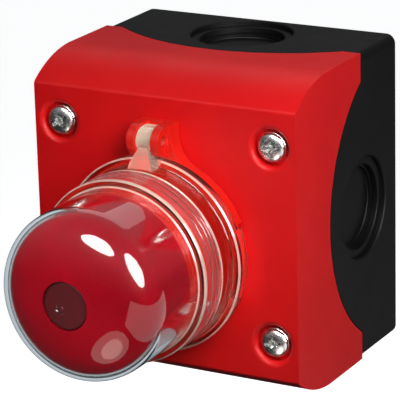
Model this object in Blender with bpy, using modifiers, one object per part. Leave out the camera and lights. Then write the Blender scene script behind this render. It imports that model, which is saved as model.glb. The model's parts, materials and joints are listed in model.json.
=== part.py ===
"""Emergency stop button in a surface enclosure, under a clear pull-off guard cap.

Lengths are in millimetres, and MM turns them into Blender's metres. The wall is the plane y = 0, the front
faces -Y and +Z is up. A height is a distance in front of the wall: the point (x, height, z) lies at y = -height.
"""

import math

import bmesh
import bpy
from mathutils import Matrix, Vector

MM = 0.001
GAP = 0.3  # left between pieces that touch

# Enclosure
HALF_WIDTH = 36.0
HALF_HEIGHT = 40.0
DEPTH = 56.0
BASE_WALL = 3.0
COVER_WALL = 2.5
EDGE_RADIUS = 2.4
FLARE_RADIUS = 30.0  # the top and bottom of the cover curve forward and inward
FLARE_START = 38.0

# Curved joint between base and cover: a bulge on each wall, and flat tabs at the corners
TAB_HEIGHT = 20.0
TOP_BULGE_RADIUS = 49.5
TOP_BULGE_CENTRE = -18.5
SIDE_BULGE_RADIUS = 39.0
SIDE_BULGE_CENTRE = -1.3
BULGE_REACH = 3.7  # how far the bulges reach in from the walls' outer faces
LIP_WIDTH = 1.0  # outer lip of the cover, in front of the gasket
GASKET_WIDTH = 0.9
GASKET_THICKNESS = 1.2

# Cover screws and their posts
SCREW_X = 29.1
SCREW_Z = 24.7
SCREW_HEAD_RADIUS = 3.75
SCREW_RADIUS = 1.8
POCKET_RADIUS = 4.6
POCKET_FLOOR = 53.5
POST_RADIUS = 4.2
POST_TOP = 36.3
BOSS_RADIUS = 5.0

# Cable entries: closed knock-outs in the four walls of the base
ENTRY_RADIUS = 10.25
ENTRY_LIP_RADIUS = 11.0
ENTRY_DEPTH = 4.0
ENTRY_MEMBRANE = 1.2
SIDE_PAD_RADIUS = 14.5
TOP_PAD_RADIUS = 13.4
SIDE_ENTRY_HEIGHT = 19.0
TOP_ENTRY_HEIGHT = 14.0

# Wall fixing holes
FIXING_X = 20.0
FIXING_Z = 30.5
FIXING_RADIUS = 2.4

# Actuator
AXIS_Z = -3.65
TUBE_RADIUS = 11.0
BORE_RADIUS = 8.6
STEM_RADIUS = 8.0
ROD_RADIUS = 4.0
HEAD_RADIUS = 19.4
HEAD_BACK = 79.3
HEAD_RIM = 93.0
HEAD_CROWN = 9.7
CROWN_FULLNESS = 2.35
INSERT_RADIUS = 5.7

# Guard bracket and cap
BRACKET_RADIUS = 25.4
BRACKET_BACK = DEPTH + GAP
BRACKET_FRONT = 60.4
NOTCH_ANGLE = 23.0
NOTCH_RADIUS = 22.2
NECK_HALF_WIDTH = 5.0
NECK_FILLET_Z = 25.5
EAR_GAP = 2.2
EAR_OUTER = 4.3
LUG_HALF_WIDTH = 1.9
EAR_RADIUS = 3.8
EAR_TOP = 28.8
PIN_HEIGHT = 62.0
PIN_Z = 25.0
PIN_RADIUS = 1.0
PIN_HALF_LENGTH = 3.5
CAP_MOUTH = 60.7
CAP_FLANGE_RADIUS = 24.6
CAP_SKIRT_RADIUS = 22.85
CAP_DOME_RADIUS = 21.1
CAP_CROWN = 11.5

# Contact blocks, side by side behind the actuator
BLOCK_X = 6.0
BLOCK_HALF_WIDTH = 5.2
BLOCK_HALF_LENGTH = 20.0
BLOCK_BACK = 6.1
BLOCK_FRONT = 27.4
PUSHER_BACK = 33.5
BRIDGE_BACK = 16.6
TERMINAL_OFFSET = 14.5

CORNERS = [(x, z) for z in (1, -1) for x in (-1, 1)]
SIDES = (-1, 1)


# ---------------------------------------------------------------- helpers


def clear_scene():
    for obj in list(bpy.data.objects):
        bpy.data.objects.remove(obj)


def new_collection(name):
    collection = bpy.data.collections.new(name)
    bpy.context.scene.collection.children.link(collection)
    return collection


def make_material(name, colour, roughness, metallic=0.0, alpha=1.0):
    material = bpy.data.materials.new(name)
    material.use_nodes = True
    shader = material.node_tree.nodes["Principled BSDF"]
    shader.inputs["Base Color"].default_value = (*colour, 1.0)
    shader.inputs["Roughness"].default_value = roughness
    shader.inputs["Metallic"].default_value = metallic
    shader.inputs["Alpha"].default_value = alpha
    return material


def place(name, data):
    """Every new shape starts as a helper; as_part makes it a part."""
    obj = bpy.data.objects.new(name, data)
    cutters.objects.link(obj)
    obj.hide_render = True
    obj.display_type = "WIRE"
    return obj


def as_part(obj, material):
    cutters.objects.unlink(obj)
    parts.objects.link(obj)
    obj.hide_render = False
    obj.display_type = "TEXTURED"
    obj.data.materials.append(material)
    if obj.type == "MESH" and obj.data.polygons:
        obj.data.shade_smooth()
        obj.data.set_sharp_from_angle(angle=math.radians(35))
    return obj


def block(name, x_span, height_span, z_span):
    """A box between two x, two heights and two z."""
    low = Vector((x_span[0], -height_span[1], z_span[0]))
    high = Vector((x_span[1], -height_span[0], z_span[1]))
    middle = Matrix.Translation((low + high) / 2 * MM)
    scale = Matrix.Diagonal((*((high - low) * MM), 1.0))
    shape = bmesh.new()
    bmesh.ops.create_cube(shape, size=1.0, matrix=middle @ scale)
    mesh = bpy.data.meshes.new(name)
    shape.to_mesh(mesh)
    shape.free()
    return place(name, mesh)


def turned(name, profile, origin=(0, 0, AXIS_Z), direction=(0, -1, 0), steps=36):
    """Turns (radius, height) points about a line. A profile that stays off the line is closed into a ring."""
    count = len(profile)
    edges = [(i, i + 1) for i in range(count - 1)]
    if profile[0][0] > 0:
        edges.append((count - 1, 0))
    mesh = bpy.data.meshes.new(name)
    mesh.from_pydata([(r * MM, 0, h * MM) for r, h in profile], edges, [])
    obj = place(name, mesh)
    x, height, z = origin
    obj.location = Vector((x, -height, z)) * MM
    obj.rotation_euler = Vector((0, 0, 1)).rotation_difference(Vector(direction)).to_euler()
    screw = obj.modifiers.new("Turn", "SCREW")
    screw.axis = "Z"
    screw.steps = steps
    screw.render_steps = steps
    screw.use_merge_vertices = True
    screw.merge_threshold = 0.00001
    return obj


def rod(name, radius, low, high, origin=(0, 0, AXIS_Z), direction=(0, -1, 0), steps=24):
    profile = [(0, high), (radius, high), (radius, low), (0, low)]
    return turned(name, profile, origin, direction, steps)


def tube(name, outer, inner, low, high, steps=30):
    profile = [(outer, high), (outer, low), (inner, low), (inner, high)]
    return turned(name, profile, steps=steps)


def weld(mesh):
    shape = bmesh.new()
    shape.from_mesh(mesh)
    bmesh.ops.remove_doubles(shape, verts=shape.verts, dist=0.000001)
    bmesh.ops.recalc_face_normals(shape, faces=shape.faces)
    shape.to_mesh(mesh)
    shape.free()


def mesh_of_curve(guide):
    """Replaces a filled curve by a welded mesh object of the same name."""
    graph = bpy.context.evaluated_depsgraph_get()
    mesh = bpy.data.meshes.new_from_object(guide.evaluated_get(graph))
    weld(mesh)
    name = guide.name
    world = guide.matrix_world.copy()
    bpy.data.objects.remove(guide)
    obj = place(name, mesh)
    obj.matrix_world = world
    return obj


# Local axes of a flat outline in world axes: "front" draws (x, z), "side" draws (z, height) and runs along +X
FACING = {
    "front": Matrix(((1, 0, 0, 0), (0, 0, -1, 0), (0, 1, 0, 0), (0, 0, 0, 1))),
    "side": Matrix(((0, 0, 1, 0), (0, -1, 0, 0), (1, 0, 0, 0), (0, 0, 0, 1))),
}


def plate(name, outline, low, high, facing="front"):
    """A flat outline with thickness, between two heights ("front") or two x ("side")."""
    curve = bpy.data.curves.new(name, "CURVE")
    curve.dimensions = "2D"
    curve.fill_mode = "BOTH"
    curve.extrude = (high - low) / 2 * MM
    spline = curve.splines.new("POLY")
    spline.points.add(len(outline) - 1)
    for point, (u, v) in zip(spline.points, outline):
        point.co = (u * MM, v * MM, 0, 1)
    spline.use_cyclic_u = True
    guide = place(name, curve)
    guide.matrix_world = FACING[facing] @ Matrix.Translation((0, 0, (low + high) / 2 * MM))
    bpy.context.view_layer.update()
    return mesh_of_curve(guide)


def boolean(obj, other, operation):
    modifier = obj.modifiers.new(other.name, "BOOLEAN")
    modifier.operation = operation
    modifier.solver = "EXACT"
    modifier.object = other
    return obj


def cut(obj, other):
    return boolean(obj, other, "DIFFERENCE")


def join(obj, other):
    return boolean(obj, other, "UNION")


def keep_inside(obj, other):
    return boolean(obj, other, "INTERSECT")


def bevel(obj, width, segments=2):
    modifier = obj.modifiers.new("Edges", "BEVEL")
    modifier.width = width * MM
    modifier.segments = segments
    modifier.limit_method = "ANGLE"
    modifier.angle_limit = math.radians(30)
    return obj


def arc(u, v, radius, start, end, count):
    """Points on an arc about (u, v), its angles in degrees."""
    angles = [math.radians(start + (end - start) * i / count) for i in range(count + 1)]
    return [(u + radius * math.cos(a), v + radius * math.sin(a)) for a in angles]


def mirrored(half):
    """Closes a right-hand half outline, drawn bottom to top, with its mirror image."""
    return half + [(-u, v) for u, v in reversed(half)]


def rounded_rectangle(half_u, half_v, radius):
    right = arc(half_u - radius, radius - half_v, radius, -90, 0, 4)
    right += arc(half_u - radius, half_v - radius, radius, 0, 90, 4)
    return mirrored(right)


def crown(radius, rim, rise, start_radius=0.0, count=10):
    """Points of a domed front, a superellipse, from start_radius out to its rim."""
    power = 2 / CROWN_FULLNESS
    first = math.acos((start_radius / radius) ** (1 / power))
    angles = [first * (1 - i / count) for i in range(count + 1)]
    return [(radius * math.cos(a) ** power, rim + rise * math.sin(a) ** power) for a in angles]


def ring_section(major, minor, height):
    """A six-sided round section, outer side first and downward."""
    angles = [math.radians(90 - 60 * i) for i in range(6)]
    return [(major + minor * math.cos(a), height + minor * math.sin(a)) for a in angles]


def coil(name, radius, wire, low, high, turns, x=0.0):
    """A compression spring standing between two heights."""
    points_per_turn = 8
    count = round(turns * points_per_turn)
    curve = bpy.data.curves.new(name, "CURVE")
    curve.dimensions = "3D"
    curve.bevel_depth = wire * MM
    curve.bevel_resolution = 2
    curve.use_fill_caps = True
    spline = curve.splines.new("POLY")
    spline.points.add(count)
    for i, point in enumerate(spline.points):
        angle = 2 * math.pi * i / points_per_turn
        height = low + wire + (high - low - 2 * wire) * i / count
        across = x + radius * math.cos(angle)
        up = AXIS_Z + radius * math.sin(angle)
        point.co = (across * MM, -height * MM, up * MM, 1)
    guide = place(name, curve)
    bpy.context.view_layer.update()
    return mesh_of_curve(guide)


# ---------------------------------------------------------------- enclosure


def joint_solid(name, forward):
    """Everything behind the curved joint, moved forward by some distance."""
    solid = block(name, (-60, 60), (-80, TAB_HEIGHT + forward), (-60, 60))
    upright = TOP_BULGE_RADIUS + forward, TOP_BULGE_CENTRE, HALF_HEIGHT
    sideways = SIDE_BULGE_RADIUS + forward, SIDE_BULGE_CENTRE, HALF_WIDTH
    for side in SIDES:
        for radius, centre, wall in (upright, sideways):
            direction = (0, 0, side) if wall == HALF_HEIGHT else (side, 0, 0)
            inner = wall - BULGE_REACH
            bulge = rod(f"{name}_{wall:.0f}_{side}", radius, inner, 50, (0, centre, 0), direction, 56)
            join(solid, bulge)
    return solid


def cable_entries():
    """Origin, direction, distance of the wall's outer face and radius of the inner pad of each entry."""
    for side in SIDES:
        yield (0, SIDE_ENTRY_HEIGHT, 0), (side, 0, 0), HALF_WIDTH, SIDE_PAD_RADIUS
        yield (0, TOP_ENTRY_HEIGHT, 0), (0, 0, side), HALF_HEIGHT, TOP_PAD_RADIUS


def entry_profile(face):
    """The stepped recess of a knock-out."""
    return [
        (0, face + 2),
        (ENTRY_LIP_RADIUS, face + 2),
        (ENTRY_LIP_RADIUS, face - 1.2),
        (ENTRY_RADIUS, face - 1.2),
        (ENTRY_RADIUS, face - ENTRY_DEPTH),
        (0, face - ENTRY_DEPTH),
    ]


def make_base():
    outline = rounded_rectangle(HALF_WIDTH, HALF_HEIGHT, EDGE_RADIUS)
    base = plate("base_shell", outline, 0, 45)
    keep_inside(base, joint_solid("base_joint", 0))
    inner_x = HALF_WIDTH - BASE_WALL
    inner_z = HALF_HEIGHT - BASE_WALL
    cut(base, block("base_room", (-inner_x, inner_x), (BASE_WALL, 60), (-inner_z, inner_z)))
    for i, (x, z) in enumerate(CORNERS):
        post = (x * SCREW_X, 0, z * SCREW_Z)
        join(base, rod(f"post_{i}", POST_RADIUS, 2, POST_TOP, origin=post, steps=16))
        cut(base, rod(f"pilot_{i}", SCREW_RADIUS + GAP, 22, 40, origin=post, steps=12))
        fixing = (x * FIXING_X, 0, z * FIXING_Z)
        cut(base, rod(f"fixing_{i}", FIXING_RADIUS, -1, 5, origin=fixing, steps=12))
    for i, (origin, direction, face, pad_radius) in enumerate(cable_entries()):
        pad_end = face - ENTRY_DEPTH - ENTRY_MEMBRANE
        join(base, rod(f"pad_{i}", pad_radius, pad_end, face - 1.5, origin, direction, 24))
        cut(base, turned(f"entry_{i}", entry_profile(face), origin, direction, steps=28))
    return as_part(base, black_plastic)


def cover_outline(inset, back):
    """Side view of the cover as (z, height), from well behind the joint to the front."""
    top = HALF_HEIGHT - inset
    front = DEPTH - inset
    centre = HALF_HEIGHT - FLARE_RADIUS
    radius = FLARE_RADIUS - inset
    end = math.degrees(math.asin((front - FLARE_START) / radius))
    return mirrored([(top, back)] + arc(centre, FLARE_START, radius, 0, end, 6))


def pocket_profile():
    """A screw pocket with a soft rounded mouth."""
    mouth = [(5.8, DEPTH), (5.0, DEPTH - 0.5), (POCKET_RADIUS, DEPTH - 1.4)]
    return [(0, 58), (5.8, 58)] + mouth + [(POCKET_RADIUS, POCKET_FLOOR), (0, POCKET_FLOOR)]


def gasket_rebate():
    """Room for the gasket behind a thin outer lip of the cover."""
    half_x = HALF_WIDTH - LIP_WIDTH
    half_z = HALF_HEIGHT - LIP_WIDTH
    rebate = plate("rebate", rounded_rectangle(half_x, half_z, EDGE_RADIUS), 5, 50)
    return keep_inside(rebate, joint_solid("rebate_joint", 2 * GAP + GASKET_THICKNESS))


def make_cover():
    cover = plate("cover_shell", cover_outline(0, 8), -HALF_WIDTH, HALF_WIDTH, "side")
    bevel(cover, EDGE_RADIUS)
    inner_x = HALF_WIDTH - COVER_WALL
    cut(cover, plate("cover_room", cover_outline(COVER_WALL, 2), -inner_x, inner_x, "side"))
    for i, (x, z) in enumerate(CORNERS):
        origin = (x * SCREW_X, 0, z * SCREW_Z)
        join(cover, rod(f"boss_{i}", BOSS_RADIUS, POST_TOP + GAP, 54.5, origin=origin, steps=12))
        cut(cover, turned(f"pocket_{i}", pocket_profile(), origin, steps=14))
        cut(cover, rod(f"clearance_{i}", SCREW_RADIUS + 0.5, 30, 57, origin=origin, steps=8))
    cut(cover, rod("actuator_hole", TUBE_RADIUS + GAP, 45, 60))
    cut(cover, joint_solid("cover_joint", GAP))
    cut(cover, gasket_rebate())
    return as_part(cover, red_plastic)


def make_gasket():
    outer_x = HALF_WIDTH - LIP_WIDTH - GAP
    outer_z = HALF_HEIGHT - LIP_WIDTH - GAP
    gasket = plate("cover_gasket", rounded_rectangle(outer_x, outer_z, 2.0), 10, 48)
    inner_x = outer_x - GASKET_WIDTH
    inner_z = outer_z - GASKET_WIDTH
    cut(gasket, plate("gasket_room", rounded_rectangle(inner_x, inner_z, 1.1), 5, 55))
    keep_inside(gasket, joint_solid("gasket_front", GAP + GASKET_THICKNESS))
    cut(gasket, joint_solid("gasket_back", GAP))
    return as_part(gasket, black_rubber)


def make_cover_screw(number, x, z):
    head_back = POCKET_FLOOR + GAP
    dome = crown(SCREW_HEAD_RADIUS, head_back + 1.2, 1.2, count=3)
    shank = [(SCREW_HEAD_RADIUS, head_back), (SCREW_RADIUS, head_back), (SCREW_RADIUS, 24), (0, 23)]
    origin = (x * SCREW_X, 0, z * SCREW_Z)
    screw = turned(f"cover_screw_{number}", dome + shank, origin, steps=14)
    x_mid, z_mid = origin[0], origin[2]
    for i, (half_x, half_z) in enumerate(((2.3, 0.4), (0.4, 2.3))):
        x_span = (x_mid - half_x, x_mid + half_x)
        z_span = (z_mid - half_z, z_mid + half_z)
        cut(screw, block(f"recess_{number}_{i}", x_span, (54.9, 60), z_span))
    return as_part(screw, zinc)


# ---------------------------------------------------------------- guard


def bracket_outline():
    """A ring with a notch at each side, and a neck for the ears at the top."""
    ring = (0, AXIS_Z)
    rise = NECK_FILLET_Z - AXIS_Z
    fillet = (rise**2 + NECK_HALF_WIDTH**2 - BRACKET_RADIUS**2) / (2 * (BRACKET_RADIUS - NECK_HALF_WIDTH))
    meet = math.degrees(math.atan2(rise, NECK_HALF_WIDTH + fillet))
    right = arc(*ring, BRACKET_RADIUS, -90, -NOTCH_ANGLE, 12)
    right += arc(*ring, NOTCH_RADIUS, -NOTCH_ANGLE, NOTCH_ANGLE, 8)
    right += arc(*ring, BRACKET_RADIUS, NOTCH_ANGLE, meet, 7)
    right += arc(NECK_HALF_WIDTH + fillet, NECK_FILLET_Z, fillet, meet + 180, 180, 5)[1:]
    return mirrored(right[1:] + [(NECK_HALF_WIDTH, EAR_TOP)])


def ear_outline():
    """Side view of an ear as (z, height): a round front on a straight root."""
    front = arc(PIN_Z, PIN_HEIGHT, EAR_RADIUS, 0, 180, 10)
    return front + [(PIN_Z - EAR_RADIUS, 58), (PIN_Z + EAR_RADIUS - 0.1, 58)]


def make_bracket():
    bracket = plate("guard_bracket", bracket_outline(), BRACKET_BACK, BRACKET_FRONT)
    ear_bottom = PIN_Z - EAR_RADIUS
    bed = block("lug_bed", (-EAR_GAP, EAR_GAP), (58.2, 70), (ear_bottom - 0.2, EAR_TOP + 2))
    cut(bracket, bed)
    for side in SIDES:
        low, high = (EAR_GAP, EAR_OUTER) if side > 0 else (-EAR_OUTER, -EAR_GAP)
        join(bracket, plate(f"ear_{side}", ear_outline(), low, high, "side"))
    hole = (0, PIN_HEIGHT, PIN_Z)
    cut(bracket, rod("ear_hole", PIN_RADIUS + GAP, -9, 9, hole, (1, 0, 0), steps=12))
    cut(bracket, rod("bracket_bore", TUBE_RADIUS + GAP, 50, 70))
    cut(bracket, rod("seal_seat", 16.3, 50, 58))
    return as_part(bracket, red_plastic)


def make_guard_pin():
    hole = (0, PIN_HEIGHT, PIN_Z)
    pin = rod("guard_pin", PIN_RADIUS, -PIN_HALF_LENGTH, PIN_HALF_LENGTH, hole, (1, 0, 0), steps=12)
    return as_part(pin, zinc)


def cap_profile():
    """Outer side from the pole to the mouth, then the inner side back to the pole."""
    wall = 1.2
    outer = crown(CAP_DOME_RADIUS, HEAD_RIM, CAP_CROWN, count=7)
    outer += [(CAP_DOME_RADIUS, 77.5), (CAP_SKIRT_RADIUS, 76.4), (CAP_SKIRT_RADIUS, 64.2)]
    outer += [(CAP_SKIRT_RADIUS + 0.4, 63.7), (CAP_FLANGE_RADIUS - 0.3, 63.5), (CAP_FLANGE_RADIUS, 63.2)]
    outer += [(CAP_FLANGE_RADIUS, CAP_MOUTH)]
    inner = [(CAP_SKIRT_RADIUS - 1.5, CAP_MOUTH), (CAP_SKIRT_RADIUS - 1.5, 76.0)]
    inner += [(CAP_DOME_RADIUS - wall, 77.2)]
    inner += reversed(crown(CAP_DOME_RADIUS - wall, HEAD_RIM, CAP_CROWN - wall, count=7))
    return outer + inner


def lug_outline():
    """Side view of the hook as (z, height): it passes over the front of the pin and is open to the wall."""
    front = arc(PIN_Z, PIN_HEIGHT, 3.3, 0, 180, 10)
    slot = PIN_RADIUS + GAP
    hook = arc(PIN_Z, PIN_HEIGHT, slot, 180, 0, 6)
    lower_end = [(PIN_Z - 3.3, 59.0), (PIN_Z - slot, 59.0)]
    upper_end = [(PIN_Z + slot, 59.8), (PIN_Z + 3.3, 59.8)]
    return front + lower_end + hook + upper_end


def make_guard_cap():
    cap = turned("guard_cap", cap_profile())
    web = mirrored([(3.4, 19.8), (LUG_HALF_WIDTH, 20.9), (LUG_HALF_WIDTH, 23.2)])
    join(cap, plate("lug_web", web, CAP_MOUTH + 0.3, 63.4))
    join(cap, plate("lug", lug_outline(), -LUG_HALF_WIDTH, LUG_HALF_WIDTH, "side"))
    for side, middle in ((1, 0), (-1, 180)):
        half = NOTCH_ANGLE - 1.5
        outer = arc(0, AXIS_Z, CAP_FLANGE_RADIUS - 0.1, middle - half, middle + half, 8)
        inner = arc(0, AXIS_Z, NOTCH_RADIUS + GAP, middle + half, middle - half, 8)
        join(cap, plate(f"tab_{side}", outer + inner, 57.0, 61.5))
    return as_part(cap, clear_plastic)


# ---------------------------------------------------------------- actuator


def make_head():
    recess = INSERT_RADIUS + GAP
    profile = [(0, 100.8), (recess, 100.8)]
    profile += crown(HEAD_RADIUS, HEAD_RIM, HEAD_CROWN, recess, count=7)
    profile += [(HEAD_RADIUS, HEAD_BACK + 0.5), (HEAD_RADIUS - 0.5, HEAD_BACK)]
    profile += [(HEAD_RADIUS - 2.2, HEAD_BACK), (HEAD_RADIUS - 2.2, 91.5)]
    profile += [(8.3, 91.5), (8.3, 82), (0, 82)]
    return as_part(turned("mushroom_head", profile), red_gloss)


def make_insert():
    profile = [(0, 102.2), (5.4, 102.2), (INSERT_RADIUS, 101.9), (INSERT_RADIUS, 101.1), (0, 101.1)]
    return as_part(turned("head_insert", profile, steps=20), dark_red)


def make_actuator_body():
    outer = [(12.8, 76), (12.8, 64.2), (14.5, 63.7), (14.5, CAP_MOUTH)]
    outer += [(TUBE_RADIUS, CAP_MOUTH), (TUBE_RADIUS, 44)]
    floor = [(ROD_RADIUS + GAP, 44), (ROD_RADIUS + GAP, 46), (BORE_RADIUS, 46)]
    latch_groove = [(BORE_RADIUS, 69.2), (9.7, 69.2), (9.7, 71), (BORE_RADIUS, 71)]
    seal_groove = [(BORE_RADIUS, 73), (9.6, 73), (9.6, 74.8), (BORE_RADIUS, 74.8)]
    profile = outer + floor + latch_groove + seal_groove + [(BORE_RADIUS, 76)]
    return as_part(turned("actuator_body", profile, steps=24), red_plastic)


def make_push_stem():
    profile = [(0, 81.7), (STEM_RADIUS, 81.7), (STEM_RADIUS, 58), (ROD_RADIUS, 58)]
    profile += [(ROD_RADIUS, 44), (3.2, 44), (3.2, 42.4), (ROD_RADIUS, 42.4)]
    profile += [(ROD_RADIUS, 35.8), (0, 35.8)]
    return as_part(turned("push_stem", profile, steps=20), black_plastic)


def make_lock_nut():
    nut = rod("lock_nut", 15.5, 46.4, 51.9, steps=6)
    cut(nut, rod("nut_bore", TUBE_RADIUS + GAP, 40, 60))
    return as_part(nut, black_plastic)


def make_retaining_clip():
    clip = tube("retaining_clip", 6.5, 3.5, 42.7, 43.7, steps=24)
    cut(clip, block("clip_mouth", (-2.4, 2.4), (42, 45), (AXIS_Z - 9, AXIS_Z)))
    return as_part(clip, steel)


def make_small_actuator_pieces():
    as_part(tube("bracket_seal", 16.0, 12.5, BRACKET_BACK, 57.7), black_rubber)
    as_part(tube("thrust_washer", 15.0, TUBE_RADIUS + GAP, 52.2, 53.2), steel)
    as_part(turned("latch_ring", ring_section(8.85, 0.5, 70.1), steps=20), steel)
    as_part(turned("stem_seal", ring_section(8.8, 0.52, 73.9), steps=20), black_rubber)
    as_part(coil("return_spring", 6.4, 0.6, 46.3, 57.7, turns=4), steel)
    as_part(rod("pusher_plate", 9.5, PUSHER_BACK, 35.5), black_plastic)


# ---------------------------------------------------------------- contacts


def make_contact_housing(letter, x):
    x_span = (x - BLOCK_HALF_WIDTH, x + BLOCK_HALF_WIDTH)
    z_span = (AXIS_Z - BLOCK_HALF_LENGTH, AXIS_Z + BLOCK_HALF_LENGTH)
    housing = block(f"contact_housing_{letter}", x_span, (BLOCK_BACK, BLOCK_FRONT), z_span)
    bevel(housing, 0.6, segments=1)
    room = block(f"room_{letter}", (x - 3.6, x + 3.6), (7, 21), (AXIS_Z - 18, AXIS_Z + 18))
    cut(housing, room)
    cut(housing, rod(f"plunger_bore_{letter}", 2.9, 20, 30, (x, 0, AXIS_Z), steps=12))
    for side in SIDES:
        well = (x, 0, AXIS_Z + side * TERMINAL_OFFSET)
        cut(housing, rod(f"well_{letter}_{side}", 2.8, 20, 30, well, steps=12))
        ends = sorted((AXIS_Z + side * 17, AXIS_Z + side * 22))
        cut(housing, block(f"wire_way_{letter}_{side}", (x - 2, x + 2), (18.5, 23.5), ends))
    return as_part(housing, grey_plastic)


def make_contact_set(letter, x):
    make_contact_housing(letter, x)
    centre = (x, 0, AXIS_Z)
    contact_back = BRIDGE_BACK + 0.8 + GAP
    plunger_front = PUSHER_BACK - GAP
    profile = [(0, plunger_front), (2.2, plunger_front), (2.6, plunger_front - 0.4)]
    profile += [(2.6, contact_back), (0, contact_back)]
    as_part(turned(f"contact_plunger_{letter}", profile, centre, steps=12), red_plastic)
    x_span = (x - 1.5, x + 1.5)
    bridge_heights = (BRIDGE_BACK, BRIDGE_BACK + 0.8)
    bridge_ends = (AXIS_Z - 10, AXIS_Z + 10)
    as_part(block(f"contact_bridge_{letter}", x_span, bridge_heights, bridge_ends), brass)
    spring = coil(f"contact_spring_{letter}", 1.9, 0.3, 7.3, BRIDGE_BACK - GAP, turns=3.5, x=x)
    as_part(spring, steel)
    for number, side in enumerate(SIDES, start=1):
        ends = sorted((AXIS_Z + side * 6.5, AXIS_Z + side * 16.8))
        strip = block(f"fixed_contact_{letter}{number}", x_span, (contact_back, contact_back + 1), ends)
        as_part(strip, brass)
        well = (x, 0, AXIS_Z + side * TERMINAL_OFFSET)
        shank = [(2.5, 24.2), (1.4, 24.2), (1.4, 19.0), (0, 19.0)]
        head = [(0, 26.4), (2.3, 26.4), (2.5, 26.1)]
        screw = turned(f"terminal_screw_{letter}{number}", head + shank, well, steps=12)
        as_part(screw, zinc)


def make_contact_carrier():
    ends = (AXIS_Z - 21, AXIS_Z + 21)
    carrier = block("contact_carrier", (-13, 13), (BASE_WALL + GAP, BLOCK_BACK - GAP), ends)
    return as_part(carrier, black_plastic)


clear_scene()
parts = new_collection("emergency_stop_button")
cutters = new_collection("cutters")

red_plastic = make_material("red_plastic", (0.72, 0.03, 0.02), 0.38)
red_gloss = make_material("red_gloss", (0.60, 0.01, 0.02), 0.18)
dark_red = make_material("dark_red", (0.16, 0.01, 0.01), 0.35)
black_plastic = make_material("black_plastic", (0.02, 0.022, 0.028), 0.45)
grey_plastic = make_material("grey_plastic", (0.30, 0.31, 0.32), 0.5)
clear_plastic = make_material("clear_plastic", (0.93, 0.95, 0.93), 0.05, alpha=0.3)
black_rubber = make_material("black_rubber", (0.02, 0.02, 0.02), 0.8)
zinc = make_material("zinc", (0.72, 0.72, 0.70), 0.3, metallic=1.0)
steel = make_material("steel", (0.55, 0.56, 0.58), 0.35, metallic=1.0)
brass = make_material("brass", (0.78, 0.58, 0.25), 0.3, metallic=1.0)

make_base()
make_cover()
make_gasket()
for screw_number, (side_x, side_z) in enumerate(CORNERS, start=1):
    make_cover_screw(screw_number, side_x, side_z)
make_bracket()
make_guard_pin()
make_guard_cap()
make_head()
make_insert()
make_actuator_body()
make_push_stem()
make_lock_nut()
make_retaining_clip()
make_small_actuator_pieces()
make_contact_carrier()
for block_letter, block_side in (("a", -1), ("b", 1)):
    make_contact_set(block_letter, block_side * BLOCK_X)
bpy.context.view_layer.update()
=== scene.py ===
"""The looks of an emergency stop button in a surface enclosure, under a clear guard cap.

Sizes are in millimetres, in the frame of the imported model. The wall is the plane y = 0, the front faces -Y,
and +Z is up. A height is a distance in front of the wall: the point (x, height, z) lies at y = -height.
"""

import json
import math

import bmesh
import bpy
from mathutils import Matrix, Vector

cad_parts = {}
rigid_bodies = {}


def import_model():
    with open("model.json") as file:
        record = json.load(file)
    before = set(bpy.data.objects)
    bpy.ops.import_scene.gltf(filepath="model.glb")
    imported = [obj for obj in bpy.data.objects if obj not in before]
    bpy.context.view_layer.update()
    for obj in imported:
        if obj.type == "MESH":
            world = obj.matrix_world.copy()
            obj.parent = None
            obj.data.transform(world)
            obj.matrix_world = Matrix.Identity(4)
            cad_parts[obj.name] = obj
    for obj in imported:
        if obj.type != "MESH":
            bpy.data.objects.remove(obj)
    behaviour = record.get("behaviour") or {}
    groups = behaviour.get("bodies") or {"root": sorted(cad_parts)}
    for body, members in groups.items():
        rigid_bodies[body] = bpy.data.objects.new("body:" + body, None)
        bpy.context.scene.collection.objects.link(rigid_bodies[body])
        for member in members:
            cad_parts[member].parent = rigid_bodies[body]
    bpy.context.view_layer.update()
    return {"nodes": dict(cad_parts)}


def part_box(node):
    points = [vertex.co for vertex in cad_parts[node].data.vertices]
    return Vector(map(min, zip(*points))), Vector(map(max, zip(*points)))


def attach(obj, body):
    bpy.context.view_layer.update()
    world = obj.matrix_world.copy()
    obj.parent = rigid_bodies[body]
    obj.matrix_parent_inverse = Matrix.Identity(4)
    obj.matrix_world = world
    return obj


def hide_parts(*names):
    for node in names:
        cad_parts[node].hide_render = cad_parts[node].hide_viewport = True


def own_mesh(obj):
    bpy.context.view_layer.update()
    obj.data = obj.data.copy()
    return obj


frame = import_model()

MM = 0.001
SIDES = (-1, 1)


# ---------------------------------------------------------------- sizes read from the frame


class Span:
    """A node's box at rest, in millimetres, with heights in place of y."""

    def __init__(self, node):
        low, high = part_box(node)
        self.left, self.right = low.x / MM, high.x / MM
        self.bottom, self.top = low.z / MM, high.z / MM
        self.back, self.front = -high.y / MM, -low.y / MM
        self.x = (self.left + self.right) / 2
        self.z = (self.bottom + self.top) / 2
        self.radius = (self.right - self.left) / 2


BASE = Span("base_shell")
COVER = Span("cover_shell")
BRACKET = Span("guard_bracket")
PIN = Span("guard_pin")
CAP = Span("guard_cap")
HEAD = Span("mushroom_head")
INSERT = Span("head_insert")
SCREWS = {n: Span(f"cover_screw_{n}") for n in (1, 2, 3, 4)}

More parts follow.
